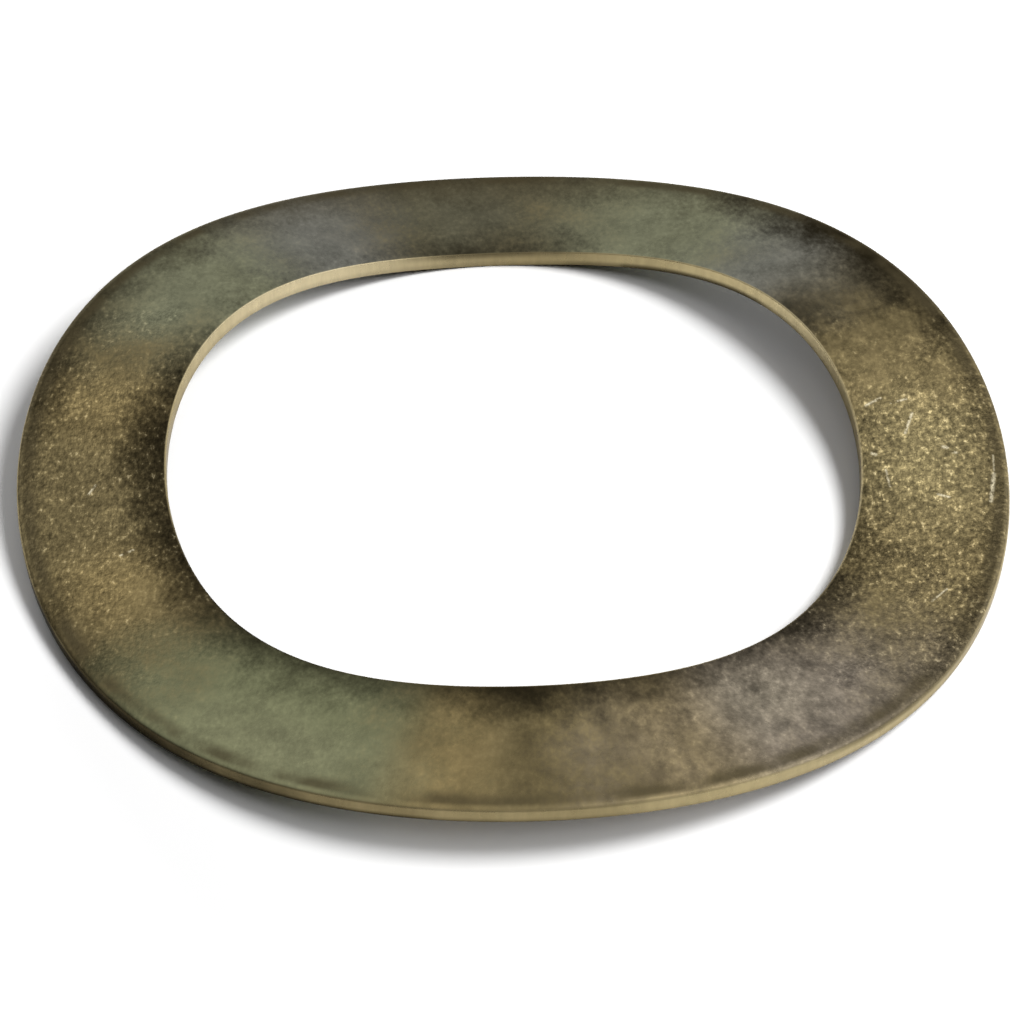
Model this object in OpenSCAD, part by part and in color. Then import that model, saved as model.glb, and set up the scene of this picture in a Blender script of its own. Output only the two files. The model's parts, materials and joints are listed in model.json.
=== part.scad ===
// Wave spring washer: a ring blanked from spring strip and pressed into even waves.
// It lies on its troughs, with the shaft axis on +Z and the resting plane at z = 0.

/* [Ring] */
// Bore diameter, clear of the shaft that passes through
bore_d = 26; // [12:0.1:60]
// Width of the ring's face, from the bore to the rim
face_w = 5.5; // [2:0.1:12]
// Thickness of the strip
strip_t = 0.7; // [0.4:0.05:1.6]

/* [Waves] */
// Number of waves round the ring
waves = 3; // [2:1:6]
// Height of the crests above the troughs
wave_rise = 1.6; // [0.4:0.05:5]
// Direction of the first crest, turned from +X
crest_at = 30; // [0:1:120]

/* [Edges] */
// Width of the rolled edges round the rim, above and below
rim_roll = 0.16; // [0.02:0.01:0.3]
// Width of the rolled edge round the top of the bore
bore_roll = 0.05; // [0.02:0.01:0.3]

/* [Quality] */
// Flats that follow each wave, from one crest to the next
flats_per_wave = 50; // [18:4:98]

/* [Hidden] */
bore_r = bore_d / 2;
rim_r = bore_r + face_w;
free_h = strip_t + wave_rise;
flats = waves * flats_per_wave;
// How far the pressed strip is drawn past the round walls that trim it
rim_past = (strip_t / 2 - rim_roll) / 2;
bore_past = (strip_t - bore_roll) / 2;
trim_slack = strip_t;
// The round walls start an eighth of a half wave past a crest, between two flats
wall_start = crest_at + 180 / waves / 8;
temper_brown = [0.43, 0.39, 0.31];

// Height of the middle of the strip in one direction
function mid_z(a) = free_h / 2 + wave_rise / 2 * cos(waves * (a - crest_at));

// Section of the strip as [radius, height], from under the bore round to its rolled top edge
function strip_section(z) = let (low = z - strip_t / 2, high = z + strip_t / 2) [
    [bore_r - bore_past, low],
    [rim_r - rim_roll, low],
    [rim_r + rim_past, low + rim_roll + rim_past],
    [rim_r + rim_past, high - rim_roll - rim_past],
    [rim_r - rim_roll, high],
    [bore_r + bore_roll, high],
    [bore_r - bore_past, high - bore_roll - bore_past]
];

// The section carried round the ring, rising and falling with the waves
module pressed_strip() {
    corners = len(strip_section(0));
    points = [
        for (i = [0 : flats - 1])
            let (a = crest_at + 360 * i / flats)
                for (p = strip_section(mid_z(a))) [p.x * cos(a), p.x * sin(a), p.y]
    ];
    faces = [
        for (i = [0 : flats - 1], j = [0 : corners - 1])
            let (
                here = i * corners,
                next = (i + 1) % flats * corners,
                k = (j + 1) % corners
            )
                each [[here + j, here + k, next + k], [here + j, next + k, next + j]]
    ];
    polyhedron(points, faces);
}

// The round rim and bore that blanking leaves, square to the shaft
module blanked_walls() {
    rotate([0, 0, wall_start])
        translate([0, 0, -trim_slack])
            difference() {
                cylinder(h = free_h + 2 * trim_slack, r = rim_r, $fn = 2 * flats);
                translate([0, 0, -trim_slack])
                    cylinder(h = free_h + 4 * trim_slack, r = bore_r, $fn = 2 * flats);
            }
}

module wave_washer() {
    color(temper_brown)
        intersection() {
            pressed_strip();
            blanked_walls();
        }
}

wave_washer();
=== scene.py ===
"""Wave spring washer: the looks of a tempered spring-steel ring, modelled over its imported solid."""

import json
import math

import bmesh
import bpy
from mathutils import Matrix, Vector


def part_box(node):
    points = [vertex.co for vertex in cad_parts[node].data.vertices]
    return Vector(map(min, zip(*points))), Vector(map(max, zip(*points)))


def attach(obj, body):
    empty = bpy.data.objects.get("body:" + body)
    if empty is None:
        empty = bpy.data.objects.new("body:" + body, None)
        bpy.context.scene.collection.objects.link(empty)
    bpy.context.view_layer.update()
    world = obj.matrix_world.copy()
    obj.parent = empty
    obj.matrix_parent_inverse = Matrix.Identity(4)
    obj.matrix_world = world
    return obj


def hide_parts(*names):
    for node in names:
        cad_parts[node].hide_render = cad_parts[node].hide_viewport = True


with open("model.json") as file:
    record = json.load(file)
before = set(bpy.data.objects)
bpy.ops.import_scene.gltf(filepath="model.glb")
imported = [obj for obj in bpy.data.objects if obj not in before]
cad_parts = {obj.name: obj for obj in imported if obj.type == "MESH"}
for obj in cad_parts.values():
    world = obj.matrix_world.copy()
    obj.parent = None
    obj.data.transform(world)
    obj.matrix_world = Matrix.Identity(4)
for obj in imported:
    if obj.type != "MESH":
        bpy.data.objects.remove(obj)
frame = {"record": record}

bl_info = {
    "name": "Wave Spring Washer",
    "version": (1, 0, 0),
    "blender": (4, 5, 0),
    "location": "View3D > Sidebar > Washer",
    "description": "Builds a three-wave spring washer in tempered steel, with its stage",
    "category": "Object",
}

MM = 0.001
NODE = "wave_washer"
LOW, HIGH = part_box(NODE)
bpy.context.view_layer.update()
BORE = next(mount for mount in frame["record"]["mounts"] if mount["name"] == "bore")

# Fineness of the mesh: steps round the turn, cuts across a face and a wall, and round a rolled edge
TURN_STEPS = 480
FACE_CUTS = 23
WALL_CUTS = 3
ROLL_SEGMENTS = 6

# Room for rounding, which keeps the mesh inside the box of the solid
ROUNDING = 0.0005 * MM

# Points of the mesh closer than this are merged
MERGE_DISTANCE = 1e-8

# Half width, in mm, of a tint that crosses the whole face
WHOLE = 60.0

# Heat tints, with painted light and shade among them, each painted over the ones before it: tint,
# strength, middle angle and half arc in degrees, middle radius and half width in mm, and softness
HEAT_PATCHES = (
    # painted light: the temper brown made brighter on the right-hand faces, toward the lamp
    ("lit_khaki", 0.90, -14, 33, 15.5, WHOLE, 0.60),
    ("gold", 0.74, -5, 10, 15.1, 2.4, 0.95),
    ("sage", 0.80, 60, 20, 15.5, WHOLE, 0.70),
    ("moss", 0.95, 96, 16, 15.5, WHOLE, 0.85),
    ("sage", 0.80, 138, 18, 15.5, WHOLE, 0.70),
    ("olive", 0.95, 236, 18, 15.9, WHOLE, 0.55),
    ("dusk", 0.80, 40, 10, 15.5, WHOLE, 0.95),
    ("dusk", 0.85, 118, 10, 15.5, WHOLE, 0.90),
    ("slate", 0.95, 301, 19, 15.6, 5.5, 0.90),
    ("umber", 0.18, 326, 7, 17.0, 1.9, 0.95),
    ("umber", 0.55, 28, 8, 15.5, WHOLE, 1.00),
    ("tan", 0.60, 170, 6, 15.8, 2.4, 0.95),
    ("tan", 0.75, 202, 6, 15.5, 2.4, 0.95),
    ("tan", 0.60, 258, 5, 15.5, WHOLE, 0.70),
    ("tan", 0.45, 286, 6, 15.8, WHOLE, 0.95),
    ("fleck", 0.14, 299, 6, 15.2, 1.5, 0.95),
    ("fleck", 0.07, 238, 12, 17.2, 1.5, 0.95),
    # Bands along the rim and the bore: partly real oxide, partly painted shade, the darkening that the
    # drawn-down edges show in reflection
    ("umber", 0.75, 90, 75, 19.1, 1.9, 0.95),
    ("oxide_and_shade", 1.00, 34, 18, 18.9, 2.3, 0.75),
    ("oxide_and_shade", 0.60, 30, 5, 13.0, 1.4, 0.95),
    ("oxide_and_shade", 0.80, 93, 14, 12.8, 1.3, 0.95),
    ("oxide_and_shade", 0.75, 243, 95, 12.5, 1.5, 0.95),
    ("oxide_and_shade", 0.95, 186, 30, 12.5, 1.6, 0.85),
    ("oxide_and_shade", 0.85, 269, 8, 12.5, 1.7, 0.95),
    ("oxide_and_shade", 0.75, 322, 16, 12.5, 1.6, 0.95),
    ("oxide_and_shade", 0.45, 286, 10, 12.6, 1.9, 0.95),
    ("oxide_and_shade", 0.85, 165, 14, 18.8, 1.2, 0.95),
    ("oxide_and_shade", 0.55, 148, 16, 18.8, 1.6, 0.95),
    ("oxide_and_shade", 0.55, 335, 30, 18.8, 0.9, 0.95),
    ("oxide_and_shade", 0.50, 208, 10, 18.8, 1.2, 0.95),
)

# Zones of coarse, sparkling grain, partly painted glints in the colour: strength, middle angle and half
# arc in degrees
COARSE_ZONES = ((1.08, -12, 25), (0.7, 183, 25), (0.15, 306, 20))

# Zone of stronger mottling: middle angle and half arc in degrees
MOTTLED_ZONE = (292, 34)

# Zones of crumbled, pitted skin: middle angle and half arc in degrees
CRUMBLED_ZONES = ((17, 20), (306, 26))

# Zone of faint rubbed streaks across the face: middle angle and half arc in degrees
STREAK_ZONE = (276, 24)

# Painted light and shade of the blanked walls, painted in turn: brighter straw where they face the lamp
# and the lit floor, brown to near black where they face away; tint, strength, middle angle and half arc
# in degrees
WALL_LIGHT_AND_SHADE = (
    ("bright", 0.95, 130, 30),
    ("bright", 0.60, 330, 26),
    ("brown", 0.65, 84, 24),
    ("bright", 0.35, 24, 12),
    ("brown", 0.70, 240, 34),
    ("brown", 0.38, 264, 20),
    ("oxide_and_shade", 0.92, 217, 24),
)

# Darkening of the walls, painted in turn: tint, strength, middle angle and half arc in degrees, and the
# heights in the strip, as shares of its thickness, where it starts and where it is full. The two at the
# foot are painted shade where the floor beside the wall lies in shadow; the two at the top darken its
# upper edge
WALL_DARKENING = (
    ("umber", 0.75, 91, 13, 0.5, 0.95),
    ("umber", 0.75, 314, 13, 0.5, 0.95),
    ("oxide_and_shade", 0.85, 53, 20, 0.5, 0.1),
    ("oxide_and_shade", 0.92, 234, 30, 0.5, 0.1),
)

# Middle radius of the face in mm, at which the streaks are laid round the ring
MIDDLE_RADIUS = 15.75

# Noise patterns: scale per mm, detail and roughness
PATTERNS = {
    "clouds": (0.45, 2.0, 0.5),
    "mottle": (0.9, 4.0, 0.55),
    "grain": (5.4, 3.0, 0.6),
    "fine grain": (8.0, 2.0, 0.5),
    "crumbs": (2.6, 3.0, 0.5),
    "streaks": (1.1, 2.0, 0.5),
    "shear lines": (3.2, 5.0, 0.65),
}

# Stretch of the grain by rolling, and of the shear lines up the walls
ROLLED_STRETCH = (1, 0.7, 1)
SHEARED_STRETCH = (1, 1, 0.25)

# How far clouds and grain fray the edges of the tints
CLOUDY_EDGE = 1.3
GRITTY_EDGE = 0.8

# Mottling of the faces: everywhere, and what its zone and coarse grain add
MOTTLING = 0.85
MOTTLING_IN_ZONE = 0.6
MOTTLING_IN_COARSE = 0.4

# Strength of the pitting and of the streaks, and how much a streak changes per mm of radius
PITTING = 1.3
STREAKING = 0.9
STREAK_CHANGE = 0.12

# Contrast of the grain everywhere, and what coarse grain adds
GRAIN_CONTRAST = 0.7
COARSE_CONTRAST = 2.6

# Painted glints: height over the middle from which a grain's crest is painted brighter, how much
# brighter, and what coarse grain adds
CREST_START = 0.1
CREST_SHINE = 0.5
COARSE_SHINE = 9.0

# Painted glints: heights over the middle between which coarse crests are painted pale, and how pale they
# get
PALE_CRESTS = (0.10, 0.32)
PALENESS = 0.5

# Relief of the grain: its depth everywhere, what coarse grain adds, its share on the walls, and the
# distance that a depth of 1 stands for
RELIEF = 0.07
COARSE_RELIEF = 0.8
WALL_RELIEF = 0.1
RELIEF_DISTANCE = 0.1 * MM

# Roughness of the steel where the mottling is darkest, and what the brightest mottling adds
ROUGHNESS = 0.20
MOTTLED_ROUGHNESS = 0.16

# Distances in mm from the rim and from the bore between which a face turns into a wall
RIM_BLEND = (0.09, 0.015)
BORE_BLEND = (0.09, 0.01)

# Worn roll of the rim: distances in mm from the rim between which it turns paler, and how much
WORN_ROLL = (0.28, 0.08)
ROLL_WEAR = 0.22

# Painted shade along the rim, a dark border for the darkening that the drawn-down edge shows in
# reflection:
# distances in mm from the rim where it starts, is full, starts to end and ends, its strength, and the
# levels of the clouds between which it breaks
BORDER_START = (0.9, 0.42)
BORDER_END = (0.32, 0.08)
BORDER_STRENGTH = 0.8
BORDER_BREAKS = (0.3, 0.6)

# Torn foot of the walls: heights in the strip, as shares of its thickness, the light at each of them,
# and the contrast of the shear lines
TORN_FOOT = (0.5, 0.1)
TORN_LIGHT = (1.03, 0.8)
SHEAR_CONTRAST = 0.5

# Levels of the grain between which a scratch breaks
SCRATCH_BREAKS = (0.36, 0.54)

# Sky in mirrors: heights, as the sine of the angle over the horizon, its levels at them, and how much it
# leans to the right
SKY_RISE = (0.35, 0.9)
SKY_LEVELS = (0.64, 1.05)
SKY_LEAN = 0.4

# Heights between which the light from above grows
OVERHEAD_RISE = (0.6, 0.9)

# Heights of the fill lamps as shares of their widths
FRONT_FLATNESS = 0.43
BACK_FLATNESS = 0.17

# Half width of the floor, how far it lies under the ring, and the distances, in rim radii, between which
# it runs into plain white
FLOOR_HALF = 1.5
FLOOR_GAP = 0.01 * MM
FLOOR_FADE = (2, 5)

# Width of the camera's sensor in mm, and the nearest distance that it shows
SENSOR_WIDTH = 36
CLIP_START = 0.005

# Bright scratches: start and end as angle in degrees and radius in mm, and width in mm
SCRATCHES = (
    ((-0.4, 14.79), (3.2, 15.23), 0.09),
    ((-4.3, 17.97), (-6.7, 17.94), 0.06),
    ((-7.2, 17.93), (-11.6, 17.79), 0.12),
    ((5.5, 13.57), (6.6, 14.20), 0.09),
    ((5.4, 14.55), (5.9, 15.17), 0.08),
    ((-3.0, 16.15), (-3.1, 16.28), 0.12),
    ((-3.9, 16.48), (-4.0, 16.60), 0.10),
    ((-4.2, 13.45), (-4.4, 13.55), 0.12),
    ((-11.3, 15.84), (-11.6, 16.25), 0.09),
    ((-7.5, 13.91), (-10.6, 14.06), 0.07),
    ((184.0, 15.60), (185.6, 15.90), 0.07),
    ((196.5, 14.70), (196.9, 15.20), 0.07),
    ((-30.0, 16.60), (-27.2, 16.90), 0.06),
)


def length_property(name, description, default):
    """A length of the washer, in metres."""
    return bpy.props.FloatProperty(name=name, description=description, default=default, unit="LENGTH")


def angle_property(name, description, degrees):
    """An angle, given in degrees."""
    return bpy.props.FloatProperty(
        name=name, description=description, default=math.radians(degrees), subtype="ANGLE"
    )


def power_property(name, description, watts):
    """The power of a lamp."""
    return bpy.props.FloatProperty(name=name, description=description, default=watts, unit="POWER")


def colour_property(name, description, default):
    """A linear colour."""
    return bpy.props.FloatVectorProperty(
        name=name, description=description, default=default, size=3, min=0, max=1, subtype="COLOR"
    )


class WasherShape(bpy.types.PropertyGroup):
    """Sizes of the ring"""

    bore_radius: length_property("Bore radius", "Radius of the round bore", BORE["dims"]["r_mm"] * MM)
    rim_radius: length_property("Rim radius", "Radius of the round rim", HIGH.x - ROUNDING)
    free_height: length_property(
        "Free height", "Height of the crests over the resting plane", HIGH.z - LOW.z
    )
    strip_thickness: length_property("Strip thickness", "Thickness of the spring strip", 0.7 * MM)
    waves: bpy.props.IntProperty(name="Waves", description="Number of waves round the ring", default=3)
    crest_angle: angle_property("Crest angle", "Direction of the first crest, turned from +X", 30)
    rim_roll: length_property("Rim roll", "Radius of the rolled edges round the rim", 0.16 * MM)
    bore_roll: length_property("Bore roll", "Radius of the rolled edges round the bore", 0.05 * MM)
    draw_down: length_property(
        "Draw-down", "How far blanking draws the upper face down at its edges", 0.05 * MM
    )
    draw_width: length_property("Draw-down width", "Width of the drawn-down borders", 1.1 * MM)


class WasherFinish(bpy.types.PropertyGroup):
    """Colours of the tempered steel"""

    brown: colour_property("Temper brown", "Main colour of the tempered faces", (0.165, 0.130, 0.062))
    # Painted light: the temper brown made brighter for the right-hand faces, toward the lamp
    lit_khaki: colour_property("Khaki", "Brighter brown of the right-hand faces", (0.222, 0.174, 0.083))
    gold: colour_property("Gold", "Brightest heat tint", (0.32, 0.262, 0.128))
    tan: colour_property("Tan", "Lighter, warmer heat tint", (0.265, 0.200, 0.088))
    olive: colour_property("Olive", "Greener heat tint", (0.225, 0.236, 0.130))
    sage: colour_property("Sage", "Greyish-green heat tint", (0.243, 0.258, 0.170))
    moss: colour_property("Moss", "Dark green heat tint", (0.115, 0.109, 0.072))
    slate: colour_property("Slate", "Greyish-violet heat tint", (0.235, 0.200, 0.160))
    dusk: colour_property("Dusk", "Bluish-grey heat tint", (0.203, 0.204, 0.184))
    # Umber also gives the painted shade of the dark border along the rim
    umber: colour_property("Umber", "Dark brown heat tint", (0.076, 0.061, 0.032))
    # Near black, for real oxide and for painted shade on the walls and along the edges
    oxide_and_shade: colour_property("Oxide and shade", "Near-black oxide of the borders", (0.018, 0.014, 0.007))
    straw: colour_property("Straw", "Colour of the blanked walls of rim and bore", (0.42, 0.345, 0.185))
    # Painted light: straw made brighter for the walls that face the lamp and the lit floor
    bright: colour_property(
        "Bright straw", "Colour of the brightest stretches of the walls", (0.60, 0.51, 0.32)
    )
    sheen: colour_property("Sheen", "Tint of the steel seen at a low angle", (0.62, 0.60, 0.56))
    fleck: colour_property(
        "Bright fleck", "Colour of bright grains, scratches and marks", (0.72, 0.64, 0.44)
    )


class StageLook(bpy.types.PropertyGroup):
    """Camera, floor and light"""

    view_turn: angle_property(
        "View turn", "How far round to the left of the front the camera stands", 4.12
    )
    view_rise: angle_property("View rise", "Height of the camera over the horizon", 42.90)
    view_roll: angle_property("View roll", "Tilt of the camera about its line of sight", 0.50)
    view_distance: length_property("View distance", "From the camera to its aim", 95.13 * MM)
    aim: bpy.props.FloatVectorProperty(
        name="Aim",
        description="Point that the camera looks at: to its right, away from it and up",
        default=(-0.061 * MM, -3.255 * MM, 1.15 * MM),
        size=3,
        subtype="TRANSLATION",
    )
    lens: bpy.props.FloatProperty(
        name="Lens", description="Focal length on a 36 mm sensor", default=91.22, unit="CAMERA"
    )
    floor_colour: colour_property("Floor colour", "Colour of the white floor", (0.96, 0.96, 0.96))
    lamp_distance: length_property("Lamp distance", "From the lamps to the ring", 0.5)
    lamp_turn: angle_property("Lamp turn", "Direction of the lamp, turned from the camera's right", 4)
    lamp_rise: angle_property("Lamp rise", "Height of the lamp over the horizon", 52.5)
    lamp_size: length_property("Lamp size", "Diameter of the soft lamp", 0.227)
    lamp_power: power_property("Lamp power", "Power of the soft lamp on the right", 2.53)
    glint_power: power_property("Glint power", "Power of the lamp that shows in the steel", 0.885)
    front_turn: angle_property("Front fill turn", "Direction of the front fill", 330)
    front_rise: angle_property("Front fill rise", "Height of the front fill over the horizon", 44)
    front_size: length_property("Front fill size", "Width of the front fill", 0.29)
    front_power: power_property("Front fill power", "Power of the fill lamp at the front right", 0.55)
    back_turn: angle_property("Back fill turn", "Direction of the back fill", 95)
    back_rise: angle_property("Back fill rise", "Height of the back fill over the horizon", 5)
    back_size: length_property("Back fill size", "Width of the back fill", 0.4)
    back_power: power_property("Back fill power", "Power of the low fill lamp at the back", 3.65)
    overhead_level: bpy.props.FloatProperty(
        name="Overhead level", description="Level of the light from above on matt surfaces", default=0.345
    )


def add_node(tree, kind, label, settings=None, inputs=None):
    """One shader node, with its settings, and its inputs set or linked."""
    made = tree.nodes.new(kind)
    made.label = label
    for key, value in (settings or {}).items():
        setattr(made, key, value)
    for key, value in (inputs or {}).items():
        if isinstance(value, bpy.types.NodeSocket):
            tree.links.new(value, made.inputs[key])
        else:
            made.inputs[key].default_value = value
    return made


def calculate(tree, operation, label, *values, clamp=False):
    """The result of a Math node."""
    settings = {"operation": operation, "use_clamp": clamp}
    return add_node(tree, "ShaderNodeMath", label, settings, dict(enumerate(values))).outputs[0]


def swing(tree, label, value, amount):
    """A light factor round 1, from a value round 0.5."""
    centred = calculate(tree, "SUBTRACT", label, value, 0.5)
    return calculate(tree, "EXPONENT", label, calculate(tree, "MULTIPLY", label, centred, amount))


def vectors(tree, operation, label, *values):
    """The outputs of a Vector Math node."""
    settings = {"operation": operation}
    return add_node(tree, "ShaderNodeVectorMath", label, settings, dict(enumerate(values))).outputs


def scaled(tree, label, vector, amount):
    """A vector or colour times a number."""
    inputs = {"Vector": vector, "Scale": amount}
    return add_node(tree, "ShaderNodeVectorMath", label, {"operation": "SCALE"}, inputs).outputs["Vector"]


def noise(tree, label, vector):
    """One of the noise patterns, between 0 and 1."""
    scale, detail, roughness = PATTERNS[label]
    inputs = {"Vector": vector, "Scale": scale, "Detail": detail, "Roughness": roughness}
    return add_node(tree, "ShaderNodeTexNoise", label, None, inputs).outputs["Fac"]


def ramp(tree, label, value, start, end, low=0.0, high=1.0):
    """A smooth step of a value, from low at start to high at end."""
    inputs = {"Value": value, "From Min": start, "From Max": end, "To Min": low, "To Max": high}
    settings = {"interpolation_type": "SMOOTHSTEP"}
    return add_node(tree, "ShaderNodeMapRange", label, settings, inputs).outputs["Result"]


def mix_colour(tree, label, factor, first, second):
    """Two colours mixed by a factor."""
    inputs = {0: factor, 6: first, 7: second}
    return add_node(tree, "ShaderNodeMix", label, {"data_type": "RGBA"}, inputs).outputs[2]


def new_group(name, inputs, outputs):
    """An empty shader node group with named sockets, and the sockets of its two ends."""
    tree = bpy.data.node_groups.new(name, "ShaderNodeTree")
    for label, default in inputs.items():
        kind = "NodeSocketFloat" if isinstance(default, float) else "NodeSocketVector"
        socket = tree.interface.new_socket(name=label, in_out="INPUT", socket_type=kind)
        socket.default_value = default
    for label in outputs:
        tree.interface.new_socket(name=label, in_out="OUTPUT", socket_type="NodeSocketFloat")
    return tree, tree.nodes.new("NodeGroupInput").outputs, tree.nodes.new("NodeGroupOutput").inputs


def use_group(tree, group, label, inputs):
    """The mask from one use of a node group."""
    return add_node(tree, "ShaderNodeGroup", label, {"node_tree": group}, inputs).outputs["Mask"]


def patch_group():
    """A ragged patch, placed on the ring by direction and by radius in mm."""
    tree, given, result = new_group(
        "patch",
        {
            "Position": (0, 0, 0),
            "Radius": 0.0,
            "Ragged": 0.0,
            "Direction": (1, 0, 0),
            "Half Arc": 0.2,
            "Middle Radius": 15.5,
            "Half Width": WHOLE,
            "Softness": 0.5,
            "Strength": 1.0,
        },
        ["Mask"],
    )
    along = vectors(tree, "DOT_PRODUCT", "along", given["Direction"], given["Position"])["Value"]
    crossed = vectors(tree, "CROSS_PRODUCT", "sideways", given["Direction"], given["Position"])["Vector"]
    across = vectors(tree, "DOT_PRODUCT", "across", crossed, (0, 0, 1))["Value"]
    turn = calculate(tree, "ARCTAN2", "turn", across, along)
    arc = calculate(tree, "DIVIDE", "share of arc", turn, given["Half Arc"])
    inset = calculate(tree, "SUBTRACT", "from the middle", given["Radius"], given["Middle Radius"])
    width = calculate(tree, "DIVIDE", "share of width", inset, given["Half Width"])
    both = add_node(tree, "ShaderNodeCombineXYZ", "both", None, {0: arc, 1: width}).outputs["Vector"]
    away = vectors(tree, "LENGTH", "away", both)["Value"]
    reach = calculate(tree, "ADD", "ragged reach", away, given["Ragged"])
    outer = calculate(tree, "ADD", "outer", 1.0, given["Softness"])
    inner = calculate(tree, "SUBTRACT", "inner", 1.0, given["Softness"])
    fade = ramp(tree, "fade", reach, outer, inner)
    tree.links.new(calculate(tree, "MULTIPLY", "strength", fade, given["Strength"]), result["Mask"])
    return tree


def scratch_group():
    """A fine scratch between two points in mm, broken by the grain."""
    tree, given, result = new_group(
        "scratch",
        {"Position": (0, 0, 0), "Grain": 0.5, "Start": (0, 0, 0), "End": (1, 0, 0), "Width": 0.05},
        ["Mask"],
    )
    run = vectors(tree, "SUBTRACT", "run", given["End"], given["Start"])["Vector"]
    here = vectors(tree, "SUBTRACT", "from start", given["Position"], given["Start"])["Vector"]
    along = vectors(tree, "DOT_PRODUCT", "along", here, run)["Value"]
    length = vectors(tree, "DOT_PRODUCT", "length squared", run, run)["Value"]
    share = calculate(tree, "DIVIDE", "share", along, length, clamp=True)
    away = vectors(tree, "DISTANCE", "away", here, scaled(tree, "nearest", run, share))["Value"]
    line = ramp(tree, "line", away, given["Width"], 0.0)
    breaks = ramp(tree, "breaks", given["Grain"], *SCRATCH_BREAKS)
    tree.links.new(calculate(tree, "MULTIPLY", "broken line", line, breaks), result["Mask"])
    return tree


def on_ring(angle, radius):
    """A point of the ring in mm, from its angle in degrees and its radius."""
    return (radius * math.cos(math.radians(angle)), radius * math.sin(math.radians(angle)), 0.0)


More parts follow.
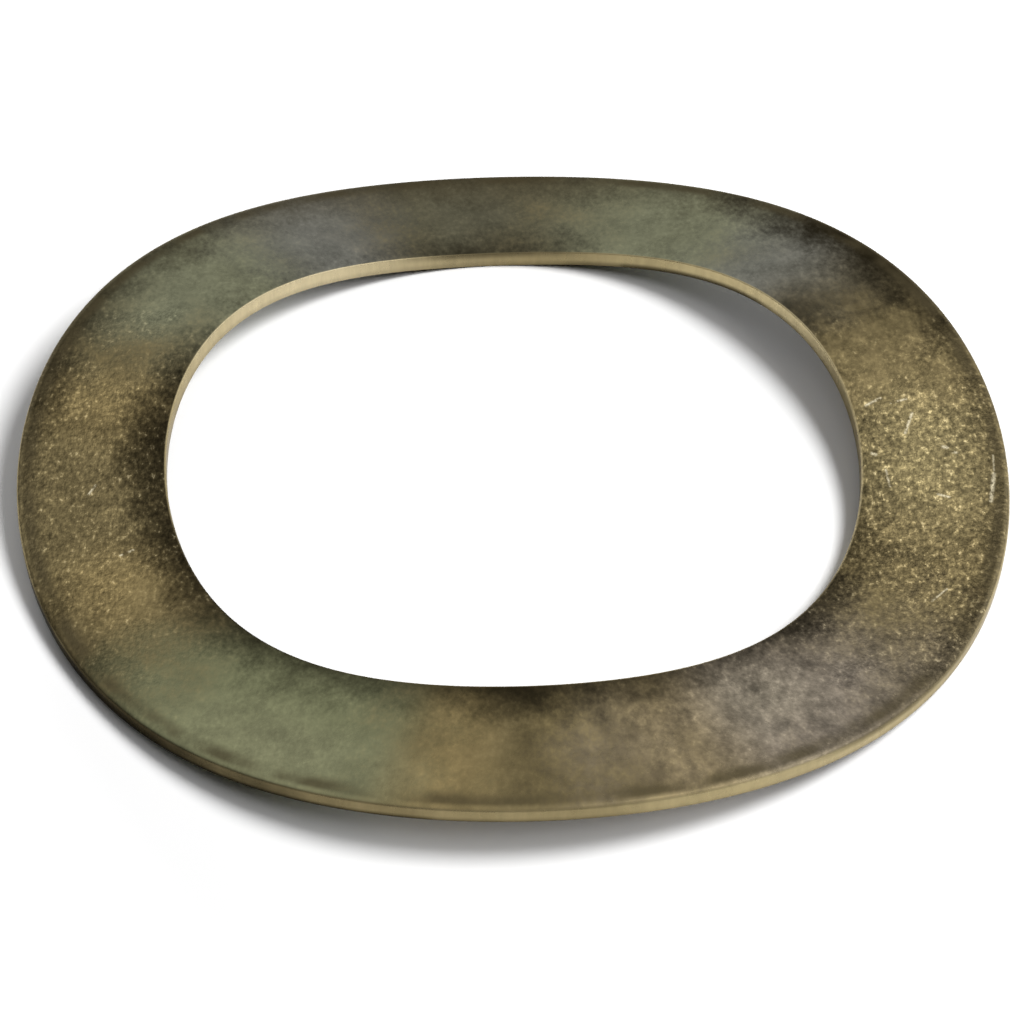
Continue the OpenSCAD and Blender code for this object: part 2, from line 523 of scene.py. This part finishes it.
def tempered_steel(shape, finish):
    """Satin spring steel with soft heat tints, sparkling grain and pale blanked walls, with painted light
    and shade on the walls and edges and painted glints in the grain.
    """
    made = bpy.data.materials.new("tempered_steel")
    made.use_nodes = True
    tree = made.node_tree
    tree.nodes.clear()
    tints = {key: (*getattr(finish, key), 1.0) for key in WasherFinish.__annotations__}
    bore = shape.bore_radius / MM
    rim = shape.rim_radius / MM
    patch = patch_group()

    place = add_node(tree, "ShaderNodeTexCoord", "object place").outputs["Object"]
    spot = scaled(tree, "in millimetres", place, 1 / MM)
    flat = vectors(tree, "MULTIPLY", "flat place", spot, (1, 1, 0))["Vector"]
    radius = vectors(tree, "LENGTH", "radius", flat)["Value"]
    outward = vectors(tree, "NORMALIZE", "way out", flat)["Vector"]
    around = scaled(tree, "round the ring", outward, MIDDLE_RADIUS)
    settings = {"attribute_type": "GEOMETRY", "attribute_name": "strip_height"}
    height = add_node(tree, "ShaderNodeAttribute", "height in the strip", settings).outputs["Fac"]
    wall = calculate(
        tree, "MAXIMUM", "walls",
        ramp(tree, "rim wall", radius, rim - RIM_BLEND[0], rim - RIM_BLEND[1]),
        ramp(tree, "bore wall", radius, bore + BORE_BLEND[0], bore + BORE_BLEND[1]),
    )
    worn = ramp(tree, "worn roll", radius, rim - WORN_ROLL[0], rim - WORN_ROLL[1], 0.0, ROLL_WEAR)
    wall = calculate(tree, "MAXIMUM", "walls and worn roll", wall, worn)

    rolled = vectors(tree, "MULTIPLY", "drawn out by rolling", spot, ROLLED_STRETCH)["Vector"]
    cloud = noise(tree, "clouds", spot)
    mottle = noise(tree, "mottle", spot)
    grain = noise(tree, "grain", rolled)
    fine = noise(tree, "fine grain", rolled)
    cloudy = calculate(tree, "MULTIPLY_ADD", "cloudy edge", cloud, CLOUDY_EDGE, -CLOUDY_EDGE / 2)
    gritty = calculate(tree, "MULTIPLY_ADD", "gritty edge", grain, GRITTY_EDGE, -GRITTY_EDGE / 2)
    ragged = calculate(tree, "ADD", "ragged edge", cloudy, gritty)

    def zone(label, angle, arc, softness):
        """A soft stretch of the ring."""
        inputs = {"Position": flat, "Radius": radius, "Ragged": cloudy, "Direction": on_ring(angle, 1.0)}
        inputs.update({"Half Arc": math.radians(arc), "Softness": softness})
        return use_group(tree, patch, label, inputs)

    colour = tints["brown"]
    for tint, strength, angle, arc, middle, width, softness in HEAT_PATCHES:
        inputs = {"Position": flat, "Radius": radius, "Ragged": ragged, "Direction": on_ring(angle, 1.0)}
        inputs.update({"Half Arc": math.radians(arc), "Middle Radius": middle, "Half Width": width})
        inputs.update({"Softness": softness, "Strength": strength})
        mask = use_group(tree, patch, f"{tint} at {angle}", inputs)
        colour = mix_colour(tree, tint, mask, colour, tints[tint])

    coarse = 0.0
    for strength, angle, arc in COARSE_ZONES:
        found = zone(f"coarse grain at {angle}", angle, arc, softness=0.6)
        coarse = calculate(tree, "MULTIPLY_ADD", "coarse grain", found, strength, coarse)
    mottled = zone("mottling", *MOTTLED_ZONE, softness=0.7)
    blotch = calculate(tree, "MULTIPLY_ADD", "mottling", mottled, MOTTLING_IN_ZONE, MOTTLING)
    blotch = calculate(
        tree, "MULTIPLY_ADD", "mottling in coarse grain", coarse, MOTTLING_IN_COARSE, blotch
    )
    crumbled = 0.0
    for angle, arc in CRUMBLED_ZONES:
        found = zone(f"crumbled at {angle}", angle, arc, softness=0.7)
        crumbled = calculate(tree, "ADD", "crumbled skin", crumbled, found)
    crumb = noise(tree, "crumbs", rolled)
    pits = swing(tree, "pitted light", crumb, calculate(tree, "MULTIPLY", "pitting", crumbled, PITTING))
    change = calculate(tree, "MULTIPLY", "change outwards", radius, STREAK_CHANGE)
    run = add_node(tree, "ShaderNodeCombineXYZ", "radial run", None, {2: change}).outputs["Vector"]
    streak = noise(tree, "streaks", vectors(tree, "ADD", "streak place", around, run)["Vector"])
    streaked = calculate(tree, "SUBTRACT", "centred streak", streak, 0.5)
    rubbed = zone("streaks", *STREAK_ZONE, softness=0.7)
    streaked = calculate(tree, "MULTIPLY_ADD", "streaks in their zone", streaked, rubbed, 0.5)
    light = calculate(
        tree, "MULTIPLY", "cloudy light",
        swing(tree, "mottled light", mottle, blotch),
        swing(tree, "streaked light", streaked, STREAKING),
    )
    light = calculate(tree, "MULTIPLY", "pitted and cloudy light", light, pits)
    centred = calculate(tree, "SUBTRACT", "centred grain", grain, 0.5)
    spread = calculate(tree, "MULTIPLY_ADD", "grain spread", coarse, COARSE_CONTRAST, GRAIN_CONTRAST)
    spread = calculate(tree, "MULTIPLY", "grain swing", centred, spread)
    grit = calculate(tree, "EXPONENT", "grain light", spread)
    # Painted glints: the grain's crests painted brighter, most of all in the coarse zones
    over = calculate(tree, "SUBTRACT", "over", centred, CREST_START)
    crest = calculate(tree, "MAXIMUM", "grain crests", over, 0.0)
    shine = calculate(tree, "MULTIPLY_ADD", "crest shine", coarse, COARSE_SHINE, CREST_SHINE)
    grit = calculate(tree, "MULTIPLY_ADD", "shining grain", crest, shine, grit)
    light = calculate(tree, "MULTIPLY", "light and dark", light, grit)
    colour = scaled(tree, "uneven face", colour, light)
    # Painted glints: coarse crests painted pale, toward the fleck colour
    tops = ramp(tree, "crest tops", centred, *PALE_CRESTS, 0.0, PALENESS)
    pale = calculate(tree, "MULTIPLY", "pale crests", tops, coarse)
    colour = mix_colour(tree, "flecked face", pale, colour, tints["fleck"])

    scratch = scratch_group()
    for start, end, width in SCRATCHES:
        inputs = {"Position": flat, "Grain": grain, "Width": width}
        inputs.update({"Start": on_ring(*start), "End": on_ring(*end)})
        mask = use_group(tree, scratch, f"scratch at {start[0]}", inputs)
        colour = mix_colour(tree, "scratched face", mask, colour, tints["fleck"])

    # Painted shade: the dark border along the rim, in umber
    rim_border = ramp(
        tree, "rim border", radius, rim - BORDER_START[0], rim - BORDER_START[1], 0.0, BORDER_STRENGTH
    )
    border_end = ramp(tree, "border end", radius, rim - BORDER_END[1], rim - BORDER_END[0])
    rim_border = calculate(tree, "MULTIPLY", "border", rim_border, border_end)
    breaks = ramp(tree, "border breaks", cloud, *BORDER_BREAKS)
    rim_border = calculate(tree, "MULTIPLY", "broken border", rim_border, breaks)
    colour = mix_colour(tree, "bordered face", rim_border, colour, tints["umber"])

    # Painted light and shade of the walls, brighter toward the lamp and darker away from it
    bare = tints["straw"]
    for tint, strength, angle, arc in WALL_LIGHT_AND_SHADE:
        found = zone(f"{tint} wall at {angle}", angle, arc, softness=0.8)
        mask = calculate(tree, "MULTIPLY", "painted wall light", found, strength)
        bare = mix_colour(tree, f"{tint} wall", mask, bare, tints[tint])
    # Painted shade at the foot of the walls, and darkening of their upper edge
    for tint, strength, angle, arc, start, full in WALL_DARKENING:
        band = ramp(tree, "darkened band", height, start, full, 0.0, strength)
        found = zone(f"stain at {angle}", angle, arc, softness=0.6)
        mask = calculate(tree, "MULTIPLY", "darkening", found, band)
        bare = mix_colour(tree, "darkened wall", mask, bare, tints[tint])
    sheared = vectors(tree, "MULTIPLY", "sheared place", spot, SHEARED_STRETCH)["Vector"]
    shear = noise(tree, "shear lines", sheared)
    torn = ramp(tree, "torn foot", height, *TORN_FOOT, *TORN_LIGHT)
    shear = swing(tree, "sheared light", shear, SHEAR_CONTRAST)
    bare = scaled(tree, "uneven wall", bare, calculate(tree, "MULTIPLY", "wall light", shear, torn))
    colour = mix_colour(tree, "walls and faces", wall, colour, bare)

    rough = calculate(tree, "MULTIPLY_ADD", "face roughness", mottle, MOTTLED_ROUGHNESS, ROUGHNESS)
    depth = calculate(tree, "MULTIPLY_ADD", "grain depth", coarse, COARSE_RELIEF, RELIEF)
    off_wall = calculate(tree, "MULTIPLY_ADD", "off the walls", wall, WALL_RELIEF - 1, 1.0)
    depth = calculate(tree, "MULTIPLY", "face grain", depth, off_wall)
    relief = calculate(tree, "SUBTRACT", "centred fine grain", fine, 0.5)
    relief = calculate(tree, "MULTIPLY", "relief", relief, depth)
    inputs = {"Strength": 1.0, "Distance": RELIEF_DISTANCE, "Height": relief}
    bump = add_node(tree, "ShaderNodeBump", "grain bump", None, inputs)
    shader = add_node(
        tree, "ShaderNodeBsdfPrincipled", "steel", None,
        {
            "Base Color": colour, "Roughness": rough, "Metallic": 1.0, "Normal": bump.outputs["Normal"],
            "Specular Tint": (*finish.sheen, 1.0),
        },
    )
    add_node(tree, "ShaderNodeOutputMaterial", "output", None, {"Surface": shader.outputs["BSDF"]})
    return made


def ring_section(bm, shape):
    """The strip's section beside the axis: a rectangle with rolled corners and cut sides."""
    bore = shape.bore_radius
    rim = shape.rim_radius
    thick = shape.strip_thickness
    places = ((bore, 0, 0), (rim, 0, 0), (rim, 0, thick), (bore, 0, thick))
    corners = [bm.verts.new(place) for place in places]
    bm.faces.new(corners)
    rolls = ((corners[1:3], shape.rim_roll), ((corners[0], corners[3]), shape.bore_roll))
    for pair, roll in rolls:
        bmesh.ops.bevel(
            bm, geom=list(pair), offset=roll, offset_type="OFFSET", segments=ROLL_SEGMENTS,
            profile=0.5, affect="VERTICES", material=-1,
        )
    bmesh.ops.delete(bm, geom=list(bm.faces), context="FACES_ONLY")
    sides = [edge for edge in bm.edges if edge.calc_length() > (rim - bore) / 2]
    walls = [edge for edge in bm.edges if thick / 4 < edge.calc_length() < (rim - bore) / 2]
    bmesh.ops.subdivide_edges(bm, edges=sides, cuts=FACE_CUTS)
    bmesh.ops.subdivide_edges(bm, edges=walls, cuts=WALL_CUTS)


def press_waves(bm, shape):
    """Draws the upper face down at its edges, then lifts the flat ring into its waves."""
    half_rise = (shape.free_height - shape.strip_thickness) / 2
    strip_height = bm.verts.layers.float.new("strip_height")
    for vert in bm.verts:
        radius = math.hypot(vert.co.x, vert.co.y)
        inset = min(radius - shape.bore_radius, shape.rim_radius - radius)
        near_edge = max(0.0, 1 - inset / shape.draw_width)
        upper = vert.co.z / shape.strip_thickness
        vert[strip_height] = upper
        vert.co.z -= shape.draw_down * near_edge ** 2 * upper
        turn = math.atan2(vert.co.y, vert.co.x) - shape.crest_angle
        vert.co.z += half_rise * (1 + math.cos(shape.waves * turn))


class WASHER_OT_build_ring(bpy.types.Operator):
    """Build the waved ring in tempered steel"""

    bl_idname = "washer.build_ring"
    bl_label = "Build Ring"

    def execute(self, context):
        shape = context.scene.washer_shape
        bm = bmesh.new()
        ring_section(bm, shape)
        bmesh.ops.spin(
            bm, geom=[*bm.verts, *bm.edges], cent=(0, 0, 0), axis=(0, 0, 1), dvec=(0, 0, 0),
            angle=math.tau, steps=TURN_STEPS, use_merge=True, use_normal_flip=False, use_duplicate=False,
        )
        bmesh.ops.remove_doubles(bm, verts=list(bm.verts), dist=MERGE_DISTANCE)
        bmesh.ops.recalc_face_normals(bm, faces=list(bm.faces))
        press_waves(bm, shape)
        for face in bm.faces:
            face.smooth = True
        mesh = bpy.data.meshes.new("waved_ring")
        bm.to_mesh(mesh)
        bm.free()
        mesh.materials.append(tempered_steel(shape, context.scene.washer_finish))
        ring = bpy.data.objects.new("waved_ring", mesh)
        context.scene.collection.objects.link(ring)
        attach(ring, "root")
        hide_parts(NODE)
        return {"FINISHED"}


def seen_ray(tree):
    """1 for the rays that show the background: from the camera, mirrored or through glass."""
    ray = add_node(tree, "ShaderNodeLightPath", "ray").outputs
    bent = calculate(tree, "MAXIMUM", "mirror or glass", ray["Is Glossy Ray"], ray["Is Transmission Ray"])
    return calculate(tree, "MAXIMUM", "seen", ray["Is Camera Ray"], bent)


def white_floor(look):
    """A matt white floor that keeps the ring's shadow, and runs into plain white further off."""
    made = bpy.data.materials.new("white_floor")
    made.use_nodes = True
    tree = made.node_tree
    tree.nodes.clear()
    inputs = {"Color": (*look.floor_colour, 1.0)}
    matt = add_node(tree, "ShaderNodeBsdfDiffuse", "matt white", None, inputs).outputs["BSDF"]
    inputs = {"Color": (1, 1, 1, 1), "Strength": 1.0}
    white = add_node(tree, "ShaderNodeEmission", "backdrop white", None, inputs).outputs["Emission"]
    place = add_node(tree, "ShaderNodeTexCoord", "object place").outputs["Object"]
    away = vectors(tree, "LENGTH", "away", place)["Value"]
    far = ramp(tree, "far floor", away, FLOOR_FADE[0] * HIGH.x, FLOOR_FADE[1] * HIGH.x)
    seen = calculate(tree, "MULTIPLY", "seen far floor", far, seen_ray(tree))
    inputs = {0: seen, 1: matt, 2: white}
    floor = add_node(tree, "ShaderNodeMixShader", "floor", None, inputs).outputs["Shader"]
    add_node(tree, "ShaderNodeOutputMaterial", "output", None, {"Surface": floor})
    return made


def studio_world(look):
    """White for the camera, a soft leaning sky in mirrors and glass, and fill light on matt surfaces."""
    world = bpy.data.worlds.new("studio")
    world.use_nodes = True
    world.cycles.sampling_method = "NONE"
    tree = world.node_tree
    tree.nodes.clear()
    way = add_node(tree, "ShaderNodeTexCoord", "direction").outputs["Generated"]
    rise = add_node(tree, "ShaderNodeSeparateXYZ", "rise", None, {0: way}).outputs["Z"]
    lean = vectors(tree, "DOT_PRODUCT", "to the right", way, (1, 0, 0))["Value"]
    lean = calculate(tree, "MULTIPLY_ADD", "lean", lean, SKY_LEAN, 1.0)
    sky = ramp(tree, "sky", rise, *SKY_RISE, *SKY_LEVELS)
    sky = calculate(tree, "MULTIPLY", "leaning sky", sky, lean)
    fill = ramp(tree, "overhead fill", rise, *OVERHEAD_RISE, 0.0, look.overhead_level)
    ray = add_node(tree, "ShaderNodeLightPath", "ray").outputs
    bent = calculate(tree, "MAXIMUM", "mirror or glass", ray["Is Glossy Ray"], ray["Is Transmission Ray"])
    inputs = {0: bent, 2: fill, 3: sky}
    shown = add_node(tree, "ShaderNodeMix", "mirrored level", None, inputs).outputs[0]
    inputs = {0: ray["Is Camera Ray"], 2: shown, 3: 1.0}
    level = add_node(tree, "ShaderNodeMix", "seen level", None, inputs).outputs[0]
    inputs = {"Color": (1, 1, 1, 1), "Strength": level}
    background = add_node(tree, "ShaderNodeBackground", "background", None, inputs)
    add_node(tree, "ShaderNodeOutputWorld", "output", None, {"Surface": background.outputs["Background"]})
    return world


class WASHER_OT_build_stage(bpy.types.Operator):
    """Set the floor, the light and the camera"""

    bl_idname = "washer.build_stage"
    bl_label = "Build Stage"

    def execute(self, context):
        scene = context.scene
        look = scene.washer_stage
        scene.view_settings.view_transform = "Standard"
        scene.world = studio_world(look)
        self.add_floor(scene, look)
        turned = Matrix.Rotation(-look.view_turn, 3, "Z")
        self.add_lamps(scene, look, turned)
        self.add_camera(scene, look, turned)
        return {"FINISHED"}

    def add_floor(self, scene, look):
        """A wide floor just under the resting plane."""
        bm = bmesh.new()
        bmesh.ops.create_grid(bm, x_segments=1, y_segments=1, size=FLOOR_HALF)
        bmesh.ops.translate(bm, verts=list(bm.verts), vec=(0, 0, LOW.z - FLOOR_GAP))
        mesh = bpy.data.meshes.new("floor")
        bm.to_mesh(mesh)
        bm.free()
        mesh.materials.append(white_floor(look))
        floor = bpy.data.objects.new("floor", mesh)
        scene.collection.objects.link(floor)

    def add_lamps(self, scene, look, turned):
        """A soft lamp on the right, a fainter one in its place for the steel, and two fills."""
        key = (look.lamp_turn, look.lamp_rise)
        front = (look.front_turn, look.front_rise)
        back = (look.back_turn, look.back_rise)
        round_key = (look.lamp_size, look.lamp_size)
        lamps = (
            ("soft_lamp", key, round_key, look.lamp_power),
            ("glint_lamp", key, round_key, look.glint_power),
            ("front_fill", front, (look.front_size, look.front_size * FRONT_FLATNESS), look.front_power),
            ("back_fill", back, (look.back_size, look.back_size * BACK_FLATNESS), look.back_power),
        )
        for name, (turn, rise), size, power in lamps:
            way = Vector((math.cos(rise), 0, math.sin(rise)))
            way = turned @ Matrix.Rotation(turn, 3, "Z") @ way
            lamp = bpy.data.lights.new(name, "AREA")
            lamp.shape = "ELLIPSE"
            lamp.size, lamp.size_y = size
            lamp.energy = power
            holder = bpy.data.objects.new(name, lamp)
            holder.location = way * look.lamp_distance
            holder.rotation_euler = (-way).to_track_quat("-Z", "Y").to_euler()
            holder.visible_camera = False
            holder.visible_glossy = name == "glint_lamp"
            holder.visible_diffuse = name != "glint_lamp"
            scene.collection.objects.link(holder)

    def add_camera(self, scene, look, turned):
        """The camera at the photograph's place."""
        camera = bpy.data.cameras.new("camera")
        camera.sensor_width = SENSOR_WIDTH
        camera.lens = look.lens
        camera.clip_start = CLIP_START
        holder = bpy.data.objects.new("camera", camera)
        right = Vector((1, 0, 0))
        back = Vector((0, -math.cos(look.view_rise), math.sin(look.view_rise)))
        up = back.cross(right)
        level = Matrix((right, up, back)).transposed()
        facing = turned @ level @ Matrix.Rotation(look.view_roll, 3, "Z")
        place = turned @ (Vector(look.aim) + back * look.view_distance)
        holder.matrix_world = Matrix.Translation(place) @ facing.to_4x4()
        scene.collection.objects.link(holder)
        scene.camera = holder


STEPS = (WASHER_OT_build_stage, WASHER_OT_build_ring)


class WASHER_PT_panel(bpy.types.Panel):
    """Sizes, colours and build steps of the washer"""

    bl_idname = "WASHER_PT_panel"
    bl_label = "Wave Spring Washer"
    bl_space_type = "VIEW_3D"
    bl_region_type = "UI"
    bl_category = "Washer"

    def draw(self, context):
        for name in ("washer_shape", "washer_finish", "washer_stage"):
            group = getattr(context.scene, name)
            for key in group.__annotations__:
                self.layout.prop(group, key)
        for step in STEPS:
            self.layout.operator(step.bl_idname)


CLASSES = (WasherShape, WasherFinish, StageLook, *STEPS, WASHER_PT_panel)


def register():
    for item in CLASSES:
        bpy.utils.register_class(item)
    bpy.types.Scene.washer_shape = bpy.props.PointerProperty(type=WasherShape)
    bpy.types.Scene.washer_finish = bpy.props.PointerProperty(type=WasherFinish)
    bpy.types.Scene.washer_stage = bpy.props.PointerProperty(type=StageLook)


def unregister():
    for name in ("washer_stage", "washer_finish", "washer_shape"):
        delattr(bpy.types.Scene, name)
    for item in reversed(CLASSES):
        bpy.utils.unregister_class(item)


def main():
    register()
    bpy.ops.washer.build_stage()
    bpy.ops.washer.build_ring()


if __name__ == "__main__":
    main()
